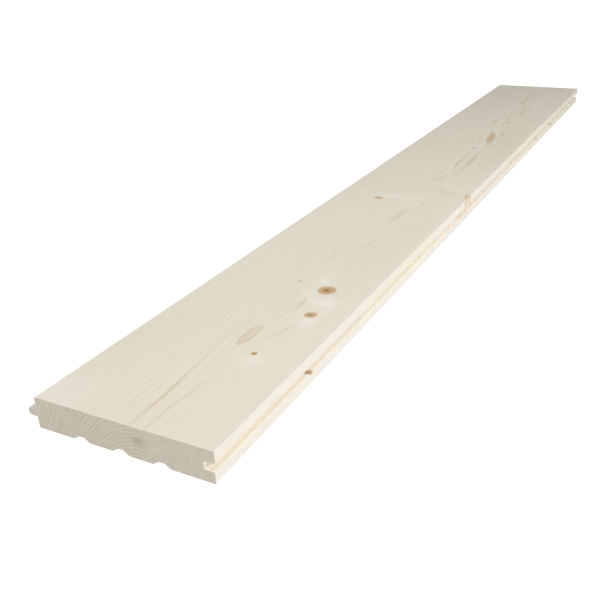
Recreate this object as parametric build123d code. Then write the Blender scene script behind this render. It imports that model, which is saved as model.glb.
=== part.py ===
from build123d import *
from math import radians, tan
import os

# A planed softwood floorboard with a tongue along one long edge and a groove
# along the other. X runs across the board, tongue side negative, Y runs along
# it and Z is up. The underside lies on z = 0 and the origin is below the middle.

# Driving dimensions, millimetres and degrees.
LENGTH = 1160.0           # sawn length
COVER_WIDTH = 137.0       # width that a laid board covers, shoulder to upper lip
THICKNESS = 23.0          # planed thickness
ARRIS_RADIUS = 0.5        # easing of the long outer edges

UPPER_LIP = 8.6           # wood above the groove
GROOVE_HEIGHT = 6.2       # groove height at its mouth
TAPER = 2.0               # slope of each tongue and groove wall, degrees
TONGUE_REACH = 7.0        # tongue beyond its shoulder
TONGUE_PLAY = 0.2         # gap above and below the tongue in a laid joint
NOSE_GAP = 1.2            # gap between the tongue's nose and the groove's root
NOSE_RADIUS = 1.8         # rounding of the tongue's nose
ROOT_RADIUS = 1.5         # rounding of the groove's root
LIP_SETBACK = 0.6         # lower lip behind the upper, so the face joint closes first
LEAD_RADIUS = 0.8         # rounded edge of the lower lip that guides the tongue in

RELIEF_COUNT = 3          # relief grooves that keep the board from cupping
RELIEF_PITCH = 31.0       # centre to centre
RELIEF_SHIFT = 1.5        # row of relief grooves off the cover's middle, to the tongue
RELIEF_MOUTH = 13.0       # width at the underside
RELIEF_FLOOR = 4.0        # width at the full depth
RELIEF_DEPTH = 3.0
RELIEF_RADIUS = 2.5       # rounding of all four corners

BREAK_START = 482.0       # near end to the break in the upper lip
BREAK_LENGTH = 24.0       # along the lip
BREAK_DEPTH = 5.8         # deepest point, in from the lip's face
BREAK_RUN = 19.0          # from the break's start to its deepest point
BREAK_LEAN = 5.0          # torn wall leaning out of plumb, degrees
BREAK_RADIUS = 1.2        # rounding of the torn corner

# Places that follow from the sizes above.
lip_x = (COVER_WIDTH + TONGUE_REACH) / 2
shoulder_x = lip_x - COVER_WIDTH
joint_z = THICKNESS - UPPER_LIP - GROOVE_HEIGHT / 2
groove_depth = TONGUE_REACH + NOSE_GAP
slope = tan(radians(TAPER))


def relief_corners(centre_x):
    """Corners of one relief groove, from the tongue's side to the groove's."""
    mouth = RELIEF_MOUTH / 2
    floor = RELIEF_FLOOR / 2
    return [
        (centre_x - mouth, 0, RELIEF_RADIUS),
        (centre_x - floor, RELIEF_DEPTH, RELIEF_RADIUS),
        (centre_x + floor, RELIEF_DEPTH, RELIEF_RADIUS),
        (centre_x + mouth, 0, RELIEF_RADIUS),
    ]


def underside_corners():
    """Corners along the underside, with its evenly spaced relief grooves."""
    middle_x = (lip_x + shoulder_x) / 2 - RELIEF_SHIFT
    first_x = middle_x - RELIEF_PITCH * (RELIEF_COUNT - 1) / 2
    corners = [(shoulder_x, 0, ARRIS_RADIUS)]
    for i in range(RELIEF_COUNT):
        corners += relief_corners(first_x + i * RELIEF_PITCH)
    return corners + [(lip_x - LIP_SETBACK, 0, ARRIS_RADIUS)]


def groove_corners():
    """Corners of the groove, whose walls close in from the mouth to the root."""
    mouth = GROOVE_HEIGHT / 2
    lower = mouth - LIP_SETBACK * slope
    root = mouth - groove_depth * slope
    root_x = lip_x - groove_depth
    return [
        (lip_x - LIP_SETBACK, joint_z - lower, LEAD_RADIUS),
        (root_x, joint_z - root, ROOT_RADIUS),
        (root_x, joint_z + root, ROOT_RADIUS),
        (lip_x, joint_z + mouth, 0),
    ]


def face_corners():
    """Corners of the upper, walked face."""
    return [
        (lip_x, THICKNESS, ARRIS_RADIUS),
        (shoulder_x, THICKNESS, ARRIS_RADIUS),
    ]


def tongue_corners():
    """Corners of the tongue, which enters the next board's groove with play."""
    root = GROOVE_HEIGHT / 2 - TONGUE_PLAY
    tip = root - TONGUE_REACH * slope
    tip_x = shoulder_x - TONGUE_REACH
    return [
        (shoulder_x, joint_z + root, 0),
        (tip_x, joint_z + tip, NOSE_RADIUS),
        (tip_x, joint_z - tip, NOSE_RADIUS),
        (shoulder_x, joint_z - root, 0),
    ]


def board_section():
    """The machined section, in a plane across the board."""
    corners = underside_corners() + groove_corners() + face_corners() + tongue_corners()
    points = [(x, z) for x, z, radius in corners]
    radii = [radius for x, z, radius in corners]
    with BuildSketch(Plane.XZ) as section:
        with BuildLine():
            FilletPolyline(*points, radius=radii, close=True)
        make_face()
    return section.sketch


def lip_break():
    """The wedge of upper lip that tore out along the grain at an edge knot."""
    lip_edge = Plane(
        origin=(lip_x, BREAK_START - LENGTH / 2, THICKNESS),
        x_dir=(1, 0, 0),
        z_dir=(0, 0, 1),
    ).rotated((0, -BREAK_LEAN, 0))
    past = BREAK_DEPTH
    near_slope = BREAK_RUN / BREAK_DEPTH
    far_slope = (BREAK_LENGTH - BREAK_RUN) / BREAK_DEPTH
    points = [
        (past, -past * near_slope),
        (-BREAK_DEPTH, BREAK_RUN),
        (past, BREAK_LENGTH + past * far_slope),
    ]
    with BuildSketch(lip_edge) as plan:
        with BuildLine():
            FilletPolyline(*points, radius=[0, BREAK_RADIUS, 0], close=True)
        make_face()
    return extrude(plan.sketch, amount=UPPER_LIP + GROOVE_HEIGHT / 2, both=True)


stock = extrude(board_section(), amount=LENGTH / 2, both=True)
floorboard = stock - lip_break()
floorboard.label = "floorboard"

os.makedirs("parts", exist_ok=True)
export_step(floorboard, "parts/floorboard.step")
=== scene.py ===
from math import exp, pi, radians, tan

import bmesh
import bpy
from mathutils import Euler, Matrix, Vector, noise


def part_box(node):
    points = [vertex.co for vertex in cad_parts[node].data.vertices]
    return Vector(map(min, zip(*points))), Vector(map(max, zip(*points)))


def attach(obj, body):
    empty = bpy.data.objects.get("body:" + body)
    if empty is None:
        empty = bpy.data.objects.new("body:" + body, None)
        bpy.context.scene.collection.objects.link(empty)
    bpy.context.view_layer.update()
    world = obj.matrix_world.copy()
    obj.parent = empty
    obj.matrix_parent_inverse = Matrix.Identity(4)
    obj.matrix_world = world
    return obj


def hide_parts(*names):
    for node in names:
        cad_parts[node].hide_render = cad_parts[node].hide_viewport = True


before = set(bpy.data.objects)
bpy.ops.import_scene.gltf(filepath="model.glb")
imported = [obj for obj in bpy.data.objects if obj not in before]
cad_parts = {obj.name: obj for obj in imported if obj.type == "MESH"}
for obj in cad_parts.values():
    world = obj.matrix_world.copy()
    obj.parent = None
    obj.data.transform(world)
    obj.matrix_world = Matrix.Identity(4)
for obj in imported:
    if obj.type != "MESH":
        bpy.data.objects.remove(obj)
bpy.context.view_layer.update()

# THE MOULDED BOARD
# One length of spruce, planed on four sides and run through a moulder that cuts
# the tongue, the groove and the relief grooves in one pass, then sawn to length.

MM = 0.001
low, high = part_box("floorboard")
thickness = high.z
board_length = high.y - low.y
lip_x = high.x
tongue_reach = 7.0 * MM
shoulder_x = low.x + tongue_reach
cover_middle_x = (lip_x + shoulder_x) / 2

arris_radius = 0.5 * MM
crisp_radius = 0.2 * MM
upper_lip = 8.6 * MM
groove_height = 6.2 * MM
groove_depth = 8.2 * MM
lip_setback = 0.6 * MM
lead_radius = 0.8 * MM
root_radius = 1.5 * MM
tongue_play = 0.2 * MM
nose_radius = 1.8 * MM
wall_slope = tan(radians(2.0))
joint_z = thickness - upper_lip - groove_height / 2

relief_pitch = 31.0 * MM
relief_shift = 1.5 * MM
relief_mouth = 13.0 * MM
relief_floor = 4.0 * MM
relief_depth = 3.0 * MM
relief_radius = 2.5 * MM
relief_steps = (-1, 0, 1)

corner_steps = 5
board_rows = 117
end_facing = 0.9


def section_corners():
    """Corners of the section as (x, z, radius), round from the tongue's lower edge."""
    corners = [(shoulder_x, 0, arris_radius)]
    for step in relief_steps:
        x = cover_middle_x - relief_shift + step * relief_pitch
        corners += [
            (x - relief_mouth / 2, 0, relief_radius),
            (x - relief_floor / 2, relief_depth, relief_radius),
            (x + relief_floor / 2, relief_depth, relief_radius),
            (x + relief_mouth / 2, 0, relief_radius),
        ]
    mouth = groove_height / 2
    groove_root = mouth - groove_depth * wall_slope
    tongue_root = mouth - tongue_play
    tongue_tip = tongue_root - tongue_reach * wall_slope
    return corners + [
        (lip_x - lip_setback, 0, arris_radius),
        (lip_x - lip_setback, joint_z - mouth + lip_setback * wall_slope, lead_radius),
        (lip_x - groove_depth, joint_z - groove_root, root_radius),
        (lip_x - groove_depth, joint_z + groove_root, root_radius),
        (lip_x, joint_z + mouth, crisp_radius),
        (lip_x, thickness, arris_radius),
        (shoulder_x, thickness, arris_radius),
        (shoulder_x, joint_z + tongue_root, crisp_radius),
        (low.x, joint_z + tongue_tip, nose_radius),
        (low.x, joint_z - tongue_tip, nose_radius),
        (shoulder_x, joint_z - tongue_root, crisp_radius),
    ]


def section_outline():
    """The section as a closed wire, laid flat as the sweep turns it, with cutter radii."""
    corners = section_corners()[::-1]
    count = len(corners)
    outline = bpy.data.meshes.new("section_outline")
    outline.from_pydata(
        [(x, -z, 0) for x, z, radius in corners],
        [(i, (i + 1) % count) for i in range(count)],
        [],
    )
    radii = outline.attributes.new("cutter_radius", "FLOAT", "POINT")
    radii.data.foreach_set("value", [radius for x, z, radius in corners])
    piece = bpy.data.objects.new("section_outline", outline)
    bpy.context.scene.collection.objects.link(piece)
    return piece


def moulder_tree():
    """Geometry Nodes: rounds the section's corners and runs it along the board."""
    tree = bpy.data.node_groups.new("moulder", "GeometryNodeTree")
    for name, kind in (
        ("Section", "NodeSocketGeometry"),
        ("Length", "NodeSocketFloat"),
        ("Corner Steps", "NodeSocketInt"),
        ("Rows", "NodeSocketInt"),
        ("Planed Wood", "NodeSocketMaterial"),
        ("Sawn Wood", "NodeSocketMaterial"),
    ):
        tree.interface.new_socket(name, in_out="INPUT", socket_type=kind)
    tree.interface.new_socket("Board", in_out="OUTPUT", socket_type="NodeSocketGeometry")

    add = tree.nodes.new
    join = tree.links.new
    given = add("NodeGroupInput").outputs
    outline = add("GeometryNodeMeshToCurve")
    radius = add("GeometryNodeInputNamedAttribute")
    radius.inputs["Name"].default_value = "cutter_radius"
    rounded = add("GeometryNodeFilletCurve")
    rounded.mode = "POLY"
    join(given["Section"], outline.inputs["Mesh"])
    join(outline.outputs["Curve"], rounded.inputs["Curve"])
    join(radius.outputs["Attribute"], rounded.inputs["Radius"])
    join(given["Corner Steps"], rounded.inputs["Count"])

    half = add("ShaderNodeMath")
    half.operation = "DIVIDE"
    half.inputs[1].default_value = 2.0
    join(given["Length"], half.inputs[0])
    minus = add("ShaderNodeMath")
    minus.operation = "MULTIPLY"
    minus.inputs[1].default_value = -1.0
    join(half.outputs[0], minus.inputs[0])
    near = add("ShaderNodeCombineXYZ")
    far = add("ShaderNodeCombineXYZ")
    join(minus.outputs[0], near.inputs["Y"])
    join(half.outputs[0], far.inputs["Y"])
    run = add("GeometryNodeCurvePrimitiveLine")
    join(near.outputs[0], run.inputs["Start"])
    join(far.outputs[0], run.inputs["End"])
    rows = add("GeometryNodeResampleCurve")
    join(run.outputs["Curve"], rows.inputs["Curve"])
    join(given["Rows"], rows.inputs["Count"])
    board = add("GeometryNodeCurveToMesh")
    board.inputs["Fill Caps"].default_value = True
    join(rows.outputs["Curve"], board.inputs["Curve"])
    join(rounded.outputs["Curve"], board.inputs["Profile Curve"])

    normal = add("GeometryNodeInputNormal")
    along = add("ShaderNodeSeparateXYZ")
    size = add("ShaderNodeMath")
    size.operation = "ABSOLUTE"
    is_end = add("FunctionNodeCompare")
    is_end.inputs["B"].default_value = end_facing
    join(normal.outputs[0], along.inputs[0])
    join(along.outputs["Y"], size.inputs[0])
    join(size.outputs[0], is_end.inputs["A"])
    real = add("GeometryNodeRealizeInstances")
    planed = add("GeometryNodeSetMaterial")
    sawn = add("GeometryNodeSetMaterial")
    join(board.outputs["Mesh"], real.inputs[0])
    join(real.outputs[0], planed.inputs["Geometry"])
    join(given["Planed Wood"], planed.inputs["Material"])
    join(planed.outputs[0], sawn.inputs["Geometry"])
    join(is_end.outputs["Result"], sawn.inputs["Selection"])
    join(given["Sawn Wood"], sawn.inputs["Material"])
    join(sawn.outputs[0], add("NodeGroupOutput").inputs["Board"])
    return tree


def set_input(modifier, name, value):
    """Sets a tree's input through the identifier of the socket with that name."""
    for item in modifier.node_group.interface.items_tree:
        if item.name == name and item.in_out == "INPUT":
            modifier[item.identifier] = value


planed_wood = bpy.data.materials.new("planed_spruce")
sawn_wood = bpy.data.materials.new("sawn_spruce")
torn_wood = bpy.data.materials.new("torn_spruce")

blank = section_outline()
moulder = blank.modifiers.new("moulder", "NODES")
moulder.node_group = moulder_tree()
set_input(moulder, "Length", board_length)
set_input(moulder, "Corner Steps", corner_steps)
set_input(moulder, "Rows", board_rows)
set_input(moulder, "Planed Wood", planed_wood)
set_input(moulder, "Sawn Wood", sawn_wood)

# THE BREAK IN THE UPPER LIP
# Where an edge knot met the groove, the moulder tore a wedge out of the upper lip.
# The long side split along the grain and the short side snapped across it.

break_start_y = low.y + 482.0 * MM
break_length = 24.0 * MM
break_depth = 5.8 * MM
break_run = 19.0 * MM
break_lean = tan(radians(5.0))
break_levels = 15
split_steps = 36
snap_steps = 18
split_rough = 0.35 * MM
ridge_size = (9.0 * MM, 0.9 * MM)
fibre_size = (2.5 * MM, 0.35 * MM)
fibre_share = 0.5
snap_rough = 0.8 * MM
splinter_size = (0.8 * MM, 1.1 * MM)
crease_angle = radians(28)


def torn_noise(run, z, size, seed):
    """Noise of -1 to 1 on the torn wall, in lumps of size = (along the wall, up)."""
    return noise.noise((run / size[0], z / size[1], seed))


def torn_point(step, height):
    """A point of the torn wall: first along the split, then back along the snap."""
    past = break_depth
    deepest = Vector((lip_x - break_depth, break_start_y + break_run, 0))
    z = joint_z + height * (thickness + upper_lip / 2 - joint_z)
    lean = Vector(((thickness - z) * break_lean, 0, z))
    if step <= split_steps:
        slope = break_run / break_depth
        outer = Vector((lip_x + past, break_start_y - past * slope, 0))
        point = outer.lerp(deepest, step / split_steps)
        ridge = torn_noise(point.y, z, ridge_size, seed=3.1)
        fibre = torn_noise(point.y, z, fibre_size, seed=8.4)
        return point + lean + Vector((split_rough * (ridge + fibre_share * fibre), 0, 0))
    slope = (break_length - break_run) / break_depth
    outer = Vector((lip_x + past, break_start_y + break_length + past * slope, 0))
    point = deepest.lerp(outer, (step - split_steps) / snap_steps)
    splinter = torn_noise(point.x, z, splinter_size, seed=5.7)
    return point + lean + Vector((0, snap_rough * splinter, 0))


def torn_out_wedge():
    """The wedge that is missing from the lip, closed past the lip's face."""
    shape = bmesh.new()
    steps = split_steps + snap_steps
    grid = []
    for level in range(break_levels + 1):
        height = level / break_levels
        grid.append([shape.verts.new(torn_point(i, height)) for i in range(steps + 1)])
    for below, above in zip(grid, grid[1:]):
        for i in range(steps):
            shape.faces.new((below[i], below[i + 1], above[i + 1], above[i]))
        shape.faces.new((below[steps], below[0], above[0], above[steps]))
    shape.faces.new(list(reversed(grid[0])))
    shape.faces.new(grid[-1])
    bmesh.ops.recalc_face_normals(shape, faces=shape.faces)
    mesh = bpy.data.meshes.new("torn_out_wedge")
    shape.to_mesh(mesh)
    shape.free()
    mesh.materials.append(torn_wood)
    piece = bpy.data.objects.new("torn_out_wedge", mesh)
    bpy.context.scene.collection.objects.link(piece)
    return piece


wedge = torn_out_wedge()
tear = blank.modifiers.new("tear", "BOOLEAN")
tear.operation = "DIFFERENCE"
tear.solver = "EXACT"
tear.material_mode = "TRANSFER"
tear.object = wedge

bpy.context.view_layer.update()
shaped = blank.evaluated_get(bpy.context.evaluated_depsgraph_get())
board_mesh = bpy.data.meshes.new_from_object(shaped)
board_mesh.name = "spruce_board"
board_mesh.shade_smooth()
board_mesh.set_sharp_from_angle(angle=crease_angle)
spruce_board = bpy.data.objects.new("spruce_board", board_mesh)
bpy.context.scene.collection.objects.link(spruce_board)
for scrap in (blank, wedge):
    bpy.data.objects.remove(scrap)
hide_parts("floorboard")
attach(spruce_board, "root")

# THE GROWTH OF THE WOOD
# The board is sawn flat from beside the pith, so the rings stand upright near the
# edges, lie flat under the middle and come to the surface there as flames and eyes.
# The figure is one solid, shared by faces, edges and ends.

# Its distances are in millimetres: across from the cover's middle, along from the
# near end, and up from the underside.
length_mm = board_length / MM
thickness_mm = thickness / MM

# The rings: their width, how far they sway and ripple and how far from the pith that
# begins, and how dark one year's growth is from its first wood to its last.
ring_width = 2.8
ring_settling = 7.0
sway_reach = 1.6
sway_grows = (38, 70)
ripple_reach = 0.09
season_spread = 0.4
seasons_start = (40, 46)
ring_profile = (
    (0, 0.06), (0.05, 0.0), (0.6, 0.03), (0.84, 0.2), (0.92, 0.95), (0.97, 0.9), (1, 0.06),
)
ring_tone_least = 0.55
ring_tone_spread = 0.5

# How clearly the rings show: in all, towards the groove, and in the one crisp stretch.
clear_middle = 0.45
clear_spread = 0.3
clear_least = 0.05
clear_lost = 0.3
clear_loss_runs = (10, 40)
crisp_middle = (-25, 60, 23)
crisp_half = (32, 120, 40)
crisp_gain = 0.6

# (along, value) stations of the pith: its place across, its depth below the walked
# face, and the crook at each whorl of branches, which is felt only close to it.
pith_side = (
    (0, 13.5), (24, 12.8), (48, 13.1), (88, 13.3), (130, 14.5), (280, 16), (394, 17),
    (415, 19), (464, 20), (572, 26), (620, 23.5), (660, 22), (682, 20), (700, 27),
    (716, 29.5), (735, 26), (750, 23), (780, 19), (810, 13.5), (850, 14), (880, 20.5),
    (912, 20), (936, 15), (964, 11), (976, 8), (1004, 1), (1070, -2), (1100, -6), (1160, -12),
)
pith_depth = (
    (0, 32.9), (24, 32.9), (48, 32.6), (68, 32.1), (88, 31.6), (112, 30.8), (130, 30.4),
    (147, 30.8), (168, 31.5), (189, 31.9), (206, 32.9), (230, 33.5), (245, 33.0), (275, 31.9),
    (357, 32.6), (394, 33.2), (415, 33.4), (437, 33.5), (464, 33.9), (538, 34.7), (572, 35.6),
    (620, 35.5), (660, 35.6), (690, 35.7), (716, 36.0), (760, 36.1), (810, 36.4), (850, 36.9),
    (905, 38.0), (976, 38.0), (1060, 38.0), (1160, 38.2),
)
pith_crook = (
    (0, 0), (189, 0), (206, -4.5), (230, -13), (245, -7), (271, 0), (581, 2), (645, 1),
    (835, 0), (861, -5), (897, 0), (1160, 0),
)
crook_reach = 24.0

# Each branch: where its middle leaves the wood (across, along, up), its radius
# there, how dark its heart is, and how much it leans from the pith's side.
branches = (
    ((32.2, 220.5, 23), 6.9, 1.0, 0.3),
    ((40.3, 175.5, 23), 4.5, 0.88, 0.3),
    ((31.5, 106.5, 23), 2.2, 0.95, 0.3),
    ((-20.5, 460, 23), 3.4, 0.75, 0.9),
    ((15.5, 702, 23), 3.0, 0.75, 0.5),
    ((3.5, 229.0, 23), 1.6, 0.6, 0.3),
    ((66.0, 121.5, 9.2), 3.0, 0.92, 0.7),
    ((64.0, 502, 21), 2.2, 0.42, 1.0),
    ((65.5, 835, 9.0), 4.5, 0.25, 1.0),
    ((66.0, 938, 9.0), 5.5, 0.38, 1.0),
)
branch_climb = 8.0
branch_tip = 0.05
bark_unevenness = 0.12

# How the rings flow round a branch, and where its section ends, in branch radii.
flow_stretch = (1.0, 0.4, 1.0)
flow_heart = 0.6
flow_share = 0.9
flow_runs = (6.0, 2.0)
knot_rim = (1.25, 0.95)
no_knot = 9.0

# Places where resin deepens the late wood: middle (across, along), half size, strength.
resin_streaks = (
    ((5.5, 36), (4.0, 42), 0.55),
    ((3.5, 150), (3.0, 75), 0.20),
    ((21.0, 30), (4.0, 45), 0.42),
    ((14.5, 128), (8.0, 22), 0.52),
    ((18.0, 203), (10.0, 20), 0.40),
    ((31.0, 150), (7.0, 20), 0.12),
    ((17.5, 415), (9.0, 26), 0.34),
    ((30.0, 500), (7.0, 50), 0.22),
    ((16.5, 608), (5.0, 70), 0.78),
    ((29.0, 624), (5.0, 64), 0.80),
    ((21.5, 762), (14.0, 60), 0.72),
    ((22.0, 945), (9.0, 42), 0.55),
    ((8.0, 1040), (12.0, 60), 0.50),
    ((8.0, 905), (8.0, 35), 0.40),
)
resin_depth = 9.0
resin_widens = 0.6
resin_darkens = 1.6

# Patches of paler and browner wood at the walked face: middle (across, along), half
# size, and the share of the pale wood, or below nought of the brown.
face_patches = (
    ((-58, 8), (26, 30), 0.25),
    ((40.5, 199), (10, 8), 0.70),
    ((22.5, 236), (6, 8), 0.50),
    ((21.5, 210), (5, 6), 0.30),
    ((43.5, 164), (6, 8), 0.60),
    ((49.5, 182), (5, 7), 0.30),
    ((36.0, 99), (6, 8), 0.45),
    ((-8.5, 472), (10, 6), 0.40),
    ((12.0, 474), (12, 6), 0.30),
    ((19.0, 714), (9, 8), 0.50),
    ((21.5, 688), (5, 7), 0.35),
    ((9.5, 872), (4, 10), 0.50),
    ((0.5, 860), (4, 10), -0.42),
    ((17.5, 860), (5, 9), -0.42),
    ((24.4, 519), (6, 10), -0.15),
    ((16.4, 551), (5, 10), -0.20),
    ((30.5, 783), (3, 15), -0.32),
    ((20.0, 420), (6, 15), -0.15),
    ((24.5, 190), (2.5, 7), -0.35),
    ((29.5, 131), (2.0, 5), -0.14),
    ((32.2, 138.5), (1.8, 5), -0.30),
    ((34.2, 146), (1.6, 5), -0.28),
    ((35.4, 153), (1.5, 4), -0.16),
    ((20.0, 300), (12.0, 40), -0.07),
    ((50.0, 350), (24.0, 120), -0.11),
    ((50.0, 700), (24.0, 130), -0.15),
    ((60.0, 510), (6.0, 4), 0.28),
    ((51.0, 514), (6.0, 4), 0.28),
    ((42.0, 521), (6.0, 5), 0.28),
    ((31.0, 530), (7.0, 5), 0.28),
    ((19.0, 527), (7.0, 4), 0.20),
    ((4.2, 262), (1.5, 8), -0.13),
    ((5.3, 292), (1.3, 16), -0.13),
    ((9.0, 321), (1.3, 10), -0.18),
    ((24.0, 330), (2.0, 11), -0.18),
    ((31.0, 458), (2.2, 11), -0.26),
    ((35.5, 504), (2.0, 8), -0.22),
    ((45.0, 503), (2.0, 7), -0.18),
    ((25.0, 935), (2.5, 22), -0.28),
    ((10.5, 893), (2.5, 13), -0.28),
    ((7.3, 1038), (2.2, 26), -0.25),
    ((22.5, 1056), (2.2, 13), -0.25),
    ((2.5, 1105), (2.2, 16), -0.20),
    ((14.5, 1012), (3.0, 9), 0.30),
    ((31.0, 985), (2.5, 16), 0.25),
)
patch_depth = 8.0

# The same in the groove and on the near end, each with its height.
edge_patches = (
    ((66.0, 477, 11), (4.0, 10, 4), -0.24),
    ((13.5, 0, 13.6), (4.5, 33, 2.7), -0.50),
)


def wire(tree, socket, value):
    """Links a socket to another node's output, or sets it to a plain value."""
    if isinstance(value, bpy.types.NodeSocket):
        tree.links.new(value, socket)
    else:
        socket.default_value = value


def maths(tree, operation, *terms):
    """A sum or other operation on numbers or sockets."""
    node = tree.nodes.new("ShaderNodeMath")
    node.operation = operation
    for socket, term in zip(node.inputs, terms):
        wire(tree, socket, term)
    return node.outputs[0]


def vectors(tree, operation, *terms):
    """The same on vectors."""
    node = tree.nodes.new("ShaderNodeVectorMath")
    node.operation = operation
    for socket, term in zip(node.inputs, terms):
        wire(tree, socket, term)
    return node.outputs["Value" if operation in ("DOT_PRODUCT", "LENGTH") else "Vector"]


def scaled(tree, vector, factor):
    """A vector made longer or shorter by a factor."""
    node = tree.nodes.new("ShaderNodeVectorMath")
    node.operation = "SCALE"
    wire(tree, node.inputs[0], vector)
    wire(tree, node.inputs["Scale"], factor)
    return node.outputs["Vector"]


def rise(tree, value, start, end):
    """Runs smoothly from 0 at start to 1 at end; end may be the smaller."""
    node = tree.nodes.new("ShaderNodeMapRange")
    node.interpolation_type = "SMOOTHSTEP"
    wire(tree, node.inputs["Value"], value)
    flip = start > end
    node.inputs["From Min"].default_value = end if flip else start
    node.inputs["From Max"].default_value = start if flip else end
    node.inputs["To Min"].default_value = 1.0 if flip else 0.0
    node.inputs["To Max"].default_value = 0.0 if flip else 1.0
    return node.outputs["Result"]


def soft_spot(tree, place, middle, half):
    """1 in the middle of a soft-edged lump of half size, fading to 0 outside it."""
    offset = vectors(tree, "DIVIDE", vectors(tree, "SUBTRACT", place, middle), half)
    return maths(tree, "POWER", exp(-1), vectors(tree, "DOT_PRODUCT", offset, offset))


def grain_noise(tree, place, stretch, detail=2.0, seed=0.0):
    """Noise of about -1 to 1 whose lumps are stretch = (x, y, z) millimetres big."""
    node = tree.nodes.new("ShaderNodeTexNoise")
    node.noise_dimensions = "4D"
    wire(tree, node.inputs["Vector"], vectors(tree, "DIVIDE", place, stretch))
    node.inputs["W"].default_value = seed
    node.inputs["Scale"].default_value = 1.0
    node.inputs["Detail"].default_value = detail
    return maths(tree, "MULTIPLY_ADD", node.outputs["Fac"], 4.0, -2.0)


def profile(tree, value, points):
    """A smooth curve through given (place, height) points; heights run from 0 to 1."""
    node = tree.nodes.new("ShaderNodeFloatCurve")
    curve = node.mapping.curves[0]
    while len(curve.points) < len(points):
        curve.points.new(0.5, 0.5)
    for point, (place, height) in zip(curve.points, points):
        point.location = (place, height)
    node.mapping.update()
    wire(tree, node.inputs["Value"], value)
    return node.outputs["Value"]


def along_board(tree, along, stations):
    """A value that follows (millimetres along, value) stations."""
    values = [value for place, value in stations]
    base, span = min(values), max(values) - min(values)
    points = [(place / length_mm, (value - base) / span) for place, value in stations]
    height = profile(tree, maths(tree, "DIVIDE", along, length_mm), points)
    return maths(tree, "MULTIPLY_ADD", height, span, base)


def station_value(stations, along):
    """The stations' value at one place, for what is worked out ahead of the nodes."""
    for (a, value_a), (b, value_b) in zip(stations, stations[1:]):
        if along <= b:
            return value_a + (value_b - value_a) * (along - a) / (b - a)
    return stations[-1][1]


def board_place(tree):
    """Millimetres across from the cover's middle, along from the near end, and up."""
    where = tree.nodes.new("ShaderNodeTexCoord").outputs["Object"]
    start = (-cover_middle_x / MM, -low.y / MM, 0)
    return vectors(tree, "MULTIPLY_ADD", where, (1 / MM,) * 3, start)


def parts_of(tree, vector):
    """A vector's X, Y and Z."""
    node = tree.nodes.new("ShaderNodeSeparateXYZ")
    wire(tree, node.inputs[0], vector)
    return node.outputs


def branch_group():
    """One branch, as a cone from the pith to where it leaves the board's surface.
    It gives its own section and how far it pushes the rings round it aside."""
    tree = bpy.data.node_groups.new("branch", "ShaderNodeTree")
    for name, kind in (
        ("Place", "NodeSocketVector"),
        ("Pith", "NodeSocketVector"),
        ("Aim", "NodeSocketVector"),
        ("Reach", "NodeSocketFloat"),
        ("Radius", "NodeSocketFloat"),
    ):
        tree.interface.new_socket(name, in_out="INPUT", socket_type=kind)
    for name, kind in (("Ratio", "NodeSocketFloat"), ("Push", "NodeSocketVector")):
        tree.interface.new_socket(name, in_out="OUTPUT", socket_type=kind)
    given = tree.nodes.new("NodeGroupInput").outputs
    result = tree.nodes.new("NodeGroupOutput").inputs
    offset = vectors(tree, "SUBTRACT", given["Place"], given["Pith"])
    run = vectors(tree, "DOT_PRODUCT", offset, given["Aim"])
    side = vectors(tree, "SUBTRACT", offset, scaled(tree, given["Aim"], run))
    growth = maths(tree, "MAXIMUM", maths(tree, "DIVIDE", run, given["Reach"]), branch_tip)
    radius = maths(tree, "MULTIPLY", growth, given["Radius"])
    wire(tree, result["Ratio"], maths(tree, "DIVIDE", vectors(tree, "LENGTH", side), radius))
    flow = vectors(tree, "LENGTH", vectors(tree, "MULTIPLY", side, flow_stretch))
    size = maths(tree, "MULTIPLY", radius, radius)
    spread = maths(tree, "MULTIPLY_ADD", flow, flow, maths(tree, "MULTIPLY", size, flow_heart))
    near = rise(tree, maths(tree, "DIVIDE", flow, radius), *flow_runs)
    near = maths(tree, "MULTIPLY", near, -flow_share)
    pull = maths(tree, "MULTIPLY", maths(tree, "DIVIDE", size, spread), near)
    sideways = vectors(tree, "MULTIPLY", side, (1.0, 0.0, 1.0))
    wire(tree, result["Push"], scaled(tree, sideways, pull))
    return tree


def grow_branches(tree, place, result):
    """Sets out all branches, and returns how far they push the rings aside."""
    branch = branch_group()
    push = (0.0, 0.0, 0.0)
    nearest = no_knot
    heart = 0.0
    bark = grain_noise(tree, place, (3, 4, 3), seed=6.6)
    uneven = maths(tree, "MULTIPLY_ADD", bark, bark_unevenness, 1.0)
    for (x, y, z), radius, darkness, lean in branches:
        leaves = Vector((x, y, z))
        pith_x = station_value(pith_side, y)
        pith_z = thickness_mm - station_value(pith_depth, y)
        start = Vector((x + (pith_x - x) * lean, y - branch_climb, pith_z))
        node = tree.nodes.new("ShaderNodeGroup")
        node.node_tree = branch
        wire(tree, node.inputs["Place"], place)
        node.inputs["Pith"].default_value = start
        node.inputs["Aim"].default_value = (leaves - start).normalized()
        node.inputs["Reach"].default_value = (leaves - start).length
        node.inputs["Radius"].default_value = radius
        ratio = maths(tree, "MULTIPLY", node.outputs["Ratio"], uneven)
        push = vectors(tree, "ADD", push, node.outputs["Push"])
        nearest = maths(tree, "MINIMUM", nearest, ratio)
        shown = maths(tree, "MULTIPLY", rise(tree, ratio, *knot_rim), darkness)
        heart = maths(tree, "MAXIMUM", heart, shown)
    wire(tree, result["Knot Ratio"], nearest)
    wire(tree, result["Knot"], heart)
    return push


def slant(tree, side, depth):
    """The distance of a point that lies so far to the side and so deep."""
    square = maths(tree, "MULTIPLY_ADD", side, side, maths(tree, "MULTIPLY", depth, depth))
    return maths(tree, "SQRT", square)


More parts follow.
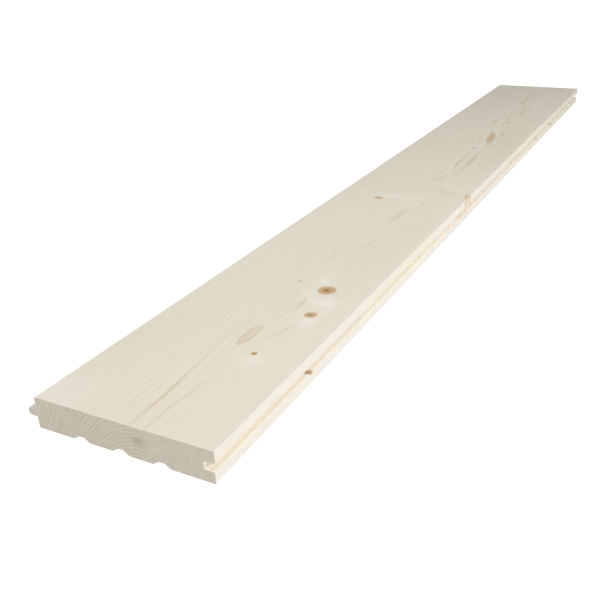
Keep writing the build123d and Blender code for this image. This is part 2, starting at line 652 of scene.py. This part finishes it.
def figure_group():
    """The solid figure of the timber, for any point of the board."""
    tree = bpy.data.node_groups.new("spruce_figure", "ShaderNodeTree")
    for name in (
        "Late Wood", "Clear", "Resin", "Knot", "Knot Ratio",
        "Pale", "Brown", "Fibre", "Streak", "Drift",
    ):
        tree.interface.new_socket(name, in_out="OUTPUT", socket_type="NodeSocketFloat")
    result = tree.nodes.new("NodeGroupOutput").inputs
    place = board_place(tree)
    across, along = parts_of(tree, place)[:2]
    push = grow_branches(tree, place, result)

    moved = parts_of(tree, vectors(tree, "ADD", place, push))
    straight = maths(tree, "SUBTRACT", moved["X"], along_board(tree, along, pith_side))
    crook = maths(tree, "DIVIDE", straight, crook_reach)
    felt = maths(tree, "POWER", exp(-1), maths(tree, "MULTIPLY", crook, crook))
    crook = maths(tree, "MULTIPLY", along_board(tree, along, pith_crook), felt)
    side = maths(tree, "SUBTRACT", straight, crook)
    depth = along_board(tree, along, pith_depth)
    inner = maths(tree, "ADD", depth, ring_settling)
    at_face = slant(tree, side, depth)
    steepness = maths(tree, "DIVIDE", inner, slant(tree, side, inner))
    below = maths(tree, "SUBTRACT", moved["Z"], thickness_mm)
    distance = maths(tree, "MULTIPLY_ADD", below, steepness, at_face)
    sway = grain_noise(tree, place, (55, 320, 55), seed=1.3)
    sway = maths(tree, "MULTIPLY", sway, rise(tree, distance, *sway_grows))
    ripple = grain_noise(tree, place, (6, 50, 6), seed=4.2)
    distance = maths(tree, "MULTIPLY_ADD", sway, sway_reach, distance)
    distance = maths(tree, "MULTIPLY_ADD", ripple, ripple_reach, distance)
    seasons = grain_noise(tree, distance, (8, 8, 8), seed=3.7)
    seasons = maths(tree, "MULTIPLY", seasons, rise(tree, distance, *seasons_start))
    years = maths(tree, "DIVIDE", distance, ring_width)
    age = maths(tree, "MULTIPLY_ADD", seasons, season_spread, years)
    band = profile(tree, maths(tree, "FRACT", age), ring_profile)
    tone = tree.nodes.new("ShaderNodeTexWhiteNoise")
    tone.noise_dimensions = "1D"
    wire(tree, tone.inputs["W"], maths(tree, "FLOOR", age))
    tone = tone.outputs["Value"]
    strength = maths(tree, "MULTIPLY_ADD", tone, ring_tone_spread, ring_tone_least)
    resin = 0.0
    for (x, y), (half_x, half_y), amount in resin_streaks:
        spot = soft_spot(tree, place, (x, y, thickness_mm), (half_x, half_y, resin_depth))
        resin = maths(tree, "MULTIPLY_ADD", spot, amount, resin)
    resin = maths(tree, "MINIMUM", resin, 1.0)
    soaked = maths(tree, "POWER", band, maths(tree, "MULTIPLY_ADD", resin, -resin_widens, 1.0))
    strength = maths(tree, "MAXIMUM", strength, maths(tree, "MULTIPLY", resin, resin_darkens))
    strength = maths(tree, "MINIMUM", strength, 1.0)
    wire(tree, result["Late Wood"], maths(tree, "MULTIPLY", soaked, strength))
    wire(tree, result["Resin"], resin)

    clear = grain_noise(tree, place, (30, 150, 30), detail=1.0, seed=9.1)
    clear = maths(tree, "MULTIPLY_ADD", clear, clear_spread, clear_middle)
    loss = rise(tree, across, *clear_loss_runs)
    clear = maths(tree, "MULTIPLY_ADD", loss, -clear_lost, clear)
    crisp = soft_spot(tree, place, crisp_middle, crisp_half)
    clear = maths(tree, "MULTIPLY_ADD", crisp, crisp_gain, clear)
    wire(tree, result["Clear"], maths(tree, "MAXIMUM", clear, clear_least))
    patches = [
        ((x, y, thickness_mm), (half_x, half_y, patch_depth), share)
        for (x, y), (half_x, half_y), share in face_patches
    ]
    patches += edge_patches
    pale = 0.0
    brown = 0.0
    for middle, half, share in patches:
        spot = soft_spot(tree, place, middle, half)
        if share > 0:
            pale = maths(tree, "MULTIPLY_ADD", spot, share, pale)
        else:
            brown = maths(tree, "MULTIPLY_ADD", spot, -share, brown)
    wire(tree, result["Pale"], pale)
    wire(tree, result["Brown"], brown)
    wire(tree, result["Fibre"], grain_noise(tree, place, (0.5, 26, 0.5), detail=3.0, seed=7.7))
    wire(tree, result["Streak"], grain_noise(tree, place, (1.8, 30, 1.8), detail=2.0, seed=5.1))
    wire(tree, result["Drift"], grain_noise(tree, place, (60, 260, 60), detail=1.0, seed=2.9))
    return tree


spruce_figure = figure_group()


def figure_node(tree):
    """The figure's outputs, for a material that shows the wood."""
    node = tree.nodes.new("ShaderNodeGroup")
    node.node_tree = spruce_figure
    return node.outputs


def mixed(tree, share, first, second, kind="MIX"):
    """Blends two colours by a share."""
    node = tree.nodes.new("ShaderNodeMix")
    node.data_type = "RGBA"
    node.blend_type = kind
    wire(tree, node.inputs["Factor"], share)
    wire(tree, node.inputs["A"], first)
    wire(tree, node.inputs["B"], second)
    return node.outputs["Result"]


def shaded(tree, base, amount, light):
    """Brightens or darkens a colour: base times 1 + amount * light."""
    return mixed(tree, 1.0, base, maths(tree, "MULTIPLY_ADD", amount, light, 1.0), "MULTIPLY")


knot_tones = (
    (0.00, (0.200, 0.108, 0.042, 1)),
    (0.20, (0.280, 0.160, 0.068, 1)),
    (0.36, (0.430, 0.275, 0.135, 1)),
    (0.75, (0.530, 0.360, 0.195, 1)),
    (0.92, (0.500, 0.345, 0.190, 1)),
    (1.00, (0.580, 0.430, 0.270, 1)),
)


def knot_colour(tree, figure, base):
    """Lays the branches' section over the wood: a dark heart in a tan body."""
    ramp = tree.nodes.new("ShaderNodeValToRGB")
    while len(ramp.color_ramp.elements) < len(knot_tones):
        ramp.color_ramp.elements.new(0.5)
    for element, (place, colour) in zip(ramp.color_ramp.elements, knot_tones):
        element.position = place
        element.color = colour
    wire(tree, ramp.inputs["Fac"], figure["Knot Ratio"])
    return mixed(tree, figure["Knot"], base, ramp.outputs["Color"])


# PLANED FACES AND EDGES
# Knife-planed spruce with no finish: cream early wood, thin tan late wood that turns
# orange where resin sits in it, and a soft sheen. The edges are greyer sapwood, darker
# at the far end by painted shade; the groove's paler tones, palest at its root, are
# painted light that lifts the shade inside it.

early_wood = (0.700, 0.652, 0.548, 1)
late_wood = (0.560, 0.470, 0.325, 1)
resin_wood = (0.530, 0.355, 0.180, 1)
pale_wood = (0.790, 0.755, 0.715, 1)
brown_wood = (0.500, 0.400, 0.260, 1)
sapwood = (0.700, 0.665, 0.592, 1)
lip_wood = (0.703, 0.668, 0.606, 1)
warmed_wood = (0.690, 0.635, 0.535, 1)
# The groove's tones are paler than the face's: painted light that lifts the shade in the groove,
# most at its root.
groove_mouth_lit_wood = (0.838, 0.788, 0.700, 1)
groove_wall_lit_wood = (0.780, 0.716, 0.612, 1)
groove_root_lit_wood = (0.970, 0.905, 0.815, 1)

# Where one tone of the edge gives way to the next, in the figure's millimetres.
edge_begins = (66.5, 67.6)
sapwood_fades = (500, 1100)
sapwood_lost = 0.8
upper_lip_warms = (16.8, 14.6)
lower_lip_greys = (9.0, 6.0)
# The lips' far ends are darkened by painted shade where the side lamp's light falls off: where it
# runs in, and by how much.
far_lips_darken = (780, 1080)
far_lip_painted_shade = -0.09
groove_inside = (57, 59)
groove_below = (7.6, 8.0)
groove_above = (14.6, 14.3)
groove_wall_begins = (67.2, 64.6)
groove_root_begins = (64.0, 62.6)

# How strongly the planer's ripple, the rings and the finer grain show; the ripple's light and
# shade are painted into the colour and the rings as well as raised.
planer_pitch = 3.4
planer_painted_shade = 0.006
planer_contrast = 0.15
ring_contrast = 0.34
ring_contrast_most = 0.95
grain_lights = (("Drift", 0.015), ("Fibre", 0.02), ("Streak", 0.035))
fleck_runs = (0.35, 1.1)
fleck_light = 0.07
fibre_relief = 0.25
planer_relief = 0.3
planed_roughness = 0.64
late_wood_polish = 0.10
planed_gloss = 0.28
planed_bump = 0.12
planed_relief = 0.05 * MM


def patched(tree, figure, base):
    """Lays the paler and the browner patches over the wood."""
    paled = mixed(tree, figure["Pale"], base, pale_wood)
    return mixed(tree, figure["Brown"], paled, brown_wood)


def raised(tree, surface, height, strength, distance):
    """Gives a surface its fine relief."""
    bump = tree.nodes.new("ShaderNodeBump")
    bump.inputs["Strength"].default_value = strength
    bump.inputs["Distance"].default_value = distance
    wire(tree, bump.inputs["Height"], height)
    wire(tree, surface.inputs["Normal"], bump.outputs["Normal"])


def board_ground(tree, across, along, up):
    """The wood's tone: the face, the two lips with painted shade on their far ends, and the
    groove between them, painted paler as painted light in its shade.
    """
    at_edge = rise(tree, across, *edge_begins)
    fading = maths(tree, "MULTIPLY_ADD", rise(tree, along, *sapwood_fades), -sapwood_lost, 1.0)
    lip = mixed(tree, rise(tree, up, *upper_lip_warms), sapwood, warmed_wood)
    lip = mixed(tree, rise(tree, up, *lower_lip_greys), lip, lip_wood)
    ground = mixed(tree, maths(tree, "MULTIPLY", at_edge, fading), early_wood, lip)
    # Painted shade: the lips grow darker towards the far end.
    far_lip_shade = maths(tree, "MULTIPLY", at_edge, rise(tree, along, *far_lips_darken))
    ground = shaded(tree, ground, far_lip_shade, far_lip_painted_shade)
    above = rise(tree, up, *groove_below)
    between_lips = maths(tree, "MULTIPLY", above, rise(tree, up, *groove_above))
    in_groove = maths(tree, "MULTIPLY", between_lips, rise(tree, across, *groove_inside))
    # Painted light in the groove, paler towards its root.
    groove = mixed(tree, rise(tree, across, *groove_wall_begins), groove_mouth_lit_wood, groove_wall_lit_wood)
    groove = mixed(tree, rise(tree, across, *groove_root_begins), groove, groove_root_lit_wood)
    return mixed(tree, in_groove, ground, groove)


def finish_planed(material):
    """Planed wood: grain over the board's ground, knots, and the planer's fine ripple."""
    material.use_nodes = True
    tree = material.node_tree
    figure = figure_node(tree)
    surface = tree.nodes["Principled BSDF"]
    place = board_place(tree)
    across, along, up = parts_of(tree, place)
    planer = maths(tree, "SINE", maths(tree, "MULTIPLY", along, 2 * pi / planer_pitch))
    contrast = maths(tree, "MULTIPLY_ADD", figure["Clear"], ring_contrast, figure["Resin"])
    # The planer's ripple painted as faint shade on the rings.
    ripple_shade = maths(tree, "MULTIPLY_ADD", planer, planer_contrast, 1.0)
    contrast = maths(tree, "MULTIPLY", contrast, ripple_shade)
    contrast = maths(tree, "MINIMUM", contrast, ring_contrast_most)
    ringed = maths(tree, "MULTIPLY", figure["Late Wood"], contrast)
    ring_colour = mixed(tree, figure["Resin"], late_wood, resin_wood)
    colour = mixed(tree, ringed, board_ground(tree, across, along, up), ring_colour)
    for grain, light in grain_lights:
        colour = shaded(tree, colour, figure[grain], light)
    # The planer's ripple painted as faint light and shade on the colour.
    colour = shaded(tree, colour, planer, planer_painted_shade)
    fleck = grain_noise(tree, place, (1.4, 5.0, 1.4), detail=1.0, seed=1.9)
    fleck = maths(tree, "MULTIPLY", rise(tree, fleck, *fleck_runs), figure["Clear"])
    colour = shaded(tree, colour, fleck, fleck_light)
    colour = knot_colour(tree, figure, patched(tree, figure, colour))
    wire(tree, surface.inputs["Base Color"], colour)
    polish = maths(tree, "MULTIPLY_ADD", figure["Late Wood"], -late_wood_polish, planed_roughness)
    wire(tree, surface.inputs["Roughness"], polish)
    surface.inputs["Specular IOR Level"].default_value = planed_gloss
    relief = maths(tree, "MULTIPLY_ADD", figure["Fibre"], fibre_relief, figure["Late Wood"])
    relief = maths(tree, "MULTIPLY_ADD", planer, planer_relief, relief)
    raised(tree, surface, relief, planed_bump, planed_relief)


finish_planed(planed_wood)

# SAWN ENDS
# Cross-cut end grain, which drinks in light: a greyer tan, the rings plain to see,
# and the fuzz and fine scores that the saw leaves.

end_early = (0.640, 0.592, 0.493, 1)
end_blush = (0.631, 0.560, 0.470, 1)
end_late = (0.390, 0.335, 0.250, 1)
end_brown = (0.370, 0.290, 0.190, 1)

# How plainly the rings show, where the saw smeared them over and where it cut clean,
# and how strongly its specks, pits, fuzz and scores show.
ring_plain = 0.65
ring_plain_spread = 0.7
ring_plain_least = 0.05
smear_runs = (14, 30)
smear_loss = 0.7
clean_middle = (37, 0, 7.5)
clean_half = (5, 33, 8)
clean_gain = 0.9
blush_runs = (-0.2, 0.9)
speck_runs = (0.6, 1.2)
speck_light = 0.22
pit_runs = (0.55, 1.2)
pit_light = -0.25
fuzz_light = 0.09
blotch_light = 0.05
score_light = 0.03
sawn_roughness = 0.85
sawn_gloss = 0.15
sawn_bump = 0.5
sawn_relief = 0.15 * MM


def finish_sawn(material):
    """Sawn end grain: rings, a blush of warmer wood, and the saw's specks and pits."""
    material.use_nodes = True
    tree = material.node_tree
    figure = figure_node(tree)
    surface = tree.nodes["Principled BSDF"]
    place = board_place(tree)
    fuzz = grain_noise(tree, place, (0.5, 1.0, 0.5), detail=3.0, seed=3.3)
    blotch = grain_noise(tree, place, (5.0, 9.0, 3.0), detail=2.5, seed=8.8)
    score = grain_noise(tree, place, (1.6, 1.0, 9.0), detail=2.0, seed=6.1)
    plain = maths(tree, "MULTIPLY_ADD", blotch, ring_plain_spread, ring_plain)
    plain = maths(tree, "MAXIMUM", plain, ring_plain_least)
    across = parts_of(tree, place)["X"]
    shown = maths(tree, "MULTIPLY_ADD", rise(tree, across, *smear_runs), -smear_loss, 1.0)
    clean_cut = soft_spot(tree, place, clean_middle, clean_half)
    shown = maths(tree, "MULTIPLY_ADD", clean_cut, clean_gain, shown)
    ringed = maths(tree, "MULTIPLY", figure["Late Wood"], maths(tree, "MULTIPLY", plain, shown))
    ringed = maths(tree, "MINIMUM", ringed, 1.0)
    blush = grain_noise(tree, place, (14, 30, 9), detail=1.0, seed=2.2)
    early = mixed(tree, rise(tree, blush, *blush_runs), end_early, end_blush)
    colour = mixed(tree, ringed, early, end_late)
    speck = grain_noise(tree, place, (1.3, 3.0, 1.1), detail=1.5, seed=4.4)
    pit = grain_noise(tree, place, (1.6, 3.0, 1.4), detail=1.5, seed=7.1)
    colour = shaded(tree, colour, rise(tree, speck, *speck_runs), speck_light)
    colour = shaded(tree, colour, rise(tree, pit, *pit_runs), pit_light)
    colour = shaded(tree, colour, fuzz, fuzz_light)
    colour = shaded(tree, colour, blotch, blotch_light)
    colour = shaded(tree, colour, score, score_light)
    colour = knot_colour(tree, figure, mixed(tree, figure["Brown"], colour, end_brown))
    wire(tree, surface.inputs["Base Color"], colour)
    surface.inputs["Roughness"].default_value = sawn_roughness
    surface.inputs["Specular IOR Level"].default_value = sawn_gloss
    raised(tree, surface, maths(tree, "ADD", fuzz, score), sawn_bump, sawn_relief)


finish_sawn(sawn_wood)

# TORN WOOD
# The bare faces of the break: long torn fibres, pale tan where they split clean and
# brown where the knot's bark sat.

torn_light = (0.715, 0.645, 0.530, 1)
torn_dark = (0.540, 0.420, 0.290, 1)
strand_share = 0.2
strand_spread = 0.25
torn_roughness = 0.9
torn_gloss = 0.1


def finish_torn(material):
    """Torn wood: long strands of two tones."""
    material.use_nodes = True
    tree = material.node_tree
    figure = figure_node(tree)
    surface = tree.nodes["Principled BSDF"]
    strand = grain_noise(tree, board_place(tree), (0.6, 9, 0.6), detail=3.0, seed=5.5)
    strand = maths(tree, "MULTIPLY_ADD", strand, strand_spread, strand_share)
    colour = mixed(tree, strand, torn_light, torn_dark)
    colour = knot_colour(tree, figure, colour)
    wire(tree, surface.inputs["Base Color"], colour)
    surface.inputs["Roughness"].default_value = torn_roughness
    surface.inputs["Specular IOR Level"].default_value = torn_gloss


finish_torn(torn_wood)

# THE STUDIO
# A white floor lit from below like a light table, a wide soft lamp high on the
# tongue's side, a long lamp on the groove's side that shines into the groove, and
# white surroundings that darken overhead.

floor_half = 30.0
floor_z = -0.0002
floor_grey = (0.25, 0.25, 0.25, 1)
floor_glow = 0.92
floor_corners = ((-1, -1), (1, -1), (1, 1), (-1, 1))
floor_mesh = bpy.data.meshes.new("studio_floor")
floor_points = [(x * floor_half, y * floor_half, floor_z) for x, y in floor_corners]
floor_mesh.from_pydata(floor_points, [], [(0, 1, 2, 3)])
studio_floor = bpy.data.objects.new("studio_floor", floor_mesh)
bpy.context.scene.collection.objects.link(studio_floor)
floor_white = bpy.data.materials.new("floor_white")
floor_white.use_nodes = True
floor_surface = floor_white.node_tree.nodes["Principled BSDF"]
floor_surface.inputs["Base Color"].default_value = floor_grey
floor_surface.inputs["Roughness"].default_value = 1.0
floor_surface.inputs["Specular IOR Level"].default_value = 0.0
floor_surface.inputs["Emission Color"].default_value = (1, 1, 1, 1)
floor_surface.inputs["Emission Strength"].default_value = floor_glow
floor_mesh.materials.append(floor_white)

horizon_light = 1.05
side_light = 0.6
overhead_light = 0.33
horizon_band = (0.14, 0.0)
overhead_band = (0.12, 0.45)
surroundings = bpy.data.worlds.new("white_surroundings")
surroundings.use_nodes = True
sky = surroundings.node_tree
sky_height = parts_of(sky, sky.nodes.new("ShaderNodeTexCoord").outputs["Generated"])["Z"]
horizon = rise(sky, sky_height, *horizon_band)
overhead = rise(sky, sky_height, *overhead_band)
glow = maths(sky, "MULTIPLY_ADD", horizon, horizon_light - side_light, side_light)
dimming = maths(sky, "MULTIPLY", overhead, overhead_light - side_light)
wire(sky, sky.nodes["Background"].inputs["Strength"], maths(sky, "ADD", glow, dimming))
sky.nodes["Background"].inputs["Color"].default_value = (1, 1, 1, 1)
bpy.context.scene.world = surroundings

near_end = Vector((cover_middle_x, low.y, thickness))
lamp_aim = near_end + Vector((0, 0.25, 0))
near_lamp_place = near_end + Vector((-0.75, 0.05, 1.2))
side_lamp_place = near_end + Vector((1.2, 0.1, 1.06))


def soft_lamp(name, place, width, height, power):
    """A soft rectangular lamp, in metres and watts, turned to the board's near half."""
    lamp = bpy.data.lights.new(name, "AREA")
    lamp.shape = "RECTANGLE"
    lamp.size = width
    lamp.size_y = height
    lamp.energy = power
    piece = bpy.data.objects.new(name, lamp)
    piece.location = place
    piece.rotation_euler = (lamp_aim - place).to_track_quat("-Z", "Y").to_euler()
    piece.visible_camera = False
    bpy.context.scene.collection.objects.link(piece)


soft_lamp("near_lamp", near_lamp_place, width=1.0, height=1.0, power=9.8)
soft_lamp("side_lamp", side_lamp_place, width=1.1, height=0.5, power=16.6)

# THE CAMERA
# A normal lens a little above the near end, to the groove's side, rolled by a few
# degrees as the board's lean in the picture shows.

image_width = 600
focal_pixels = 771.6
camera_offset = Vector((283.6, -288.1, 282.8)) * MM
camera_place = Vector((cover_middle_x, low.y, 0)) + camera_offset
camera_heading = radians(28.49)
camera_tilt = radians(25.25)
camera_roll = radians(-2.24)

lens = bpy.data.cameras.new("camera")
lens.sensor_width = 36.0
lens.lens = focal_pixels / image_width * lens.sensor_width
lens.clip_start = 0.01
lens.clip_end = 200.0
camera = bpy.data.objects.new("camera", lens)
aim = Euler((pi / 2 - camera_tilt, 0, camera_heading)).to_matrix()
aim = aim @ Matrix.Rotation(camera_roll, 3, "Z")
camera.matrix_world = Matrix.LocRotScale(camera_place, aim, None)
bpy.context.scene.collection.objects.link(camera)
bpy.context.scene.camera = camera
bpy.context.scene.view_settings.view_transform = "Standard"
